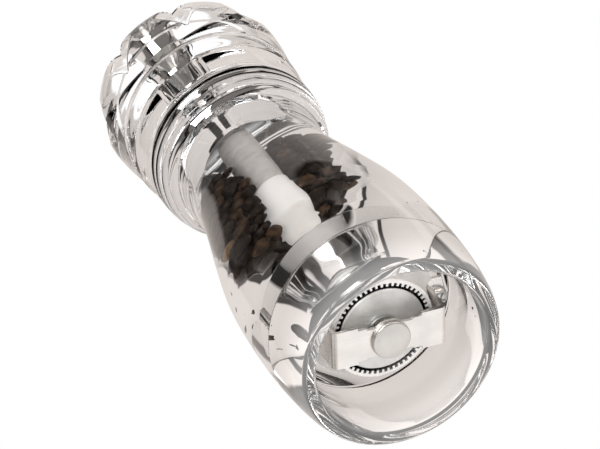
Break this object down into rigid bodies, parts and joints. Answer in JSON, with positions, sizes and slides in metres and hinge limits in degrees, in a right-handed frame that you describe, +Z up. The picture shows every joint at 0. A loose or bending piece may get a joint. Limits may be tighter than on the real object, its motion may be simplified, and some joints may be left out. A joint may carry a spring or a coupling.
{
  "type": "pepper mill",
  "caption": "Clear acrylic pepper mill with a lobed turning head, sleeved spindle, steel grinder under a strap, and a grind-setting knob.",
  "frame": {"origin": "centre of the base rim, on the plane the mill stands on", "axes": "+Z up the spindle to the knob, +X along the strap under the grinder"},
  "size_m": [0.0554, 0.0554, 0.161],
  "materials": {
    "acrylic": "clear polished acrylic",
    "pepper": "wrinkled dry peppercorns",
    "grinder_metal": "satin grey case-hardened steel",
    "gasket": "thin black elastomer",
    "stainless": "brushed stainless strip",
    "bush_plastic": "natural acetal",
    "bright_steel": "drawn bright steel",
    "frosted_plastic": "frosted translucent plastic",
    "white_plastic": "white moulded plastic",
    "knob_metal": "satin turned metal"
  },
  "bodies": {
    "body": {"body_shell": "acrylic", "peppercorns": "pepper", "grinder_stator": "grinder_metal", "stator_gasket": "gasket", "bracket": "stainless", "bracket_screws": "bright_steel", "pivot_cap": "stainless", "pivot_bush": "bush_plastic"},
    "sleeve": {"shaft_sleeve": "frosted_plastic", "sleeve_collar": "white_plastic", "feed_cone": "frosted_plastic"},
    "spindle": {"drive_shaft": "bright_steel", "grinder_rotor": "grinder_metal", "rotor_clip": "bright_steel", "spring_washer": "bright_steel", "rotor_spring": "bright_steel"},
    "head": {"head_shell": "acrylic", "drive_plate": "bright_steel", "drive_plate_screws": "bright_steel"},
    "knob": {"top_knob": "knob_metal", "knob_washer": "white_plastic"}
  },
  "joints": [
    {"name": "head_turn", "type": "hinge", "parent": "body", "child": "sleeve", "pos_m": [0, 0, 0.1097], "axis": [0, 0, 1], "continuous": true},
    {"name": "grind_adjust", "type": "slide", "parent": "sleeve", "child": "spindle", "axis": [0, 0, 1], "range_m": [-0.0008, 0.0004], "deforming": ["rotor_spring"]},
    {"name": "head_lift", "type": "slide", "parent": "sleeve", "child": "head", "axis": [0, 0, 1], "range_m": [0, 0.058]},
    {"name": "knob_turn", "type": "hinge", "parent": "head", "child": "knob", "pos_m": [0, 0, 0.151], "axis": [0, 0, 1], "range_deg": [-180, 360]}
  ],
  "couplings": [
    {"joint": "knob_turn", "follows": "grind_adjust", "rad_per_m": -7853.9}
  ]
}
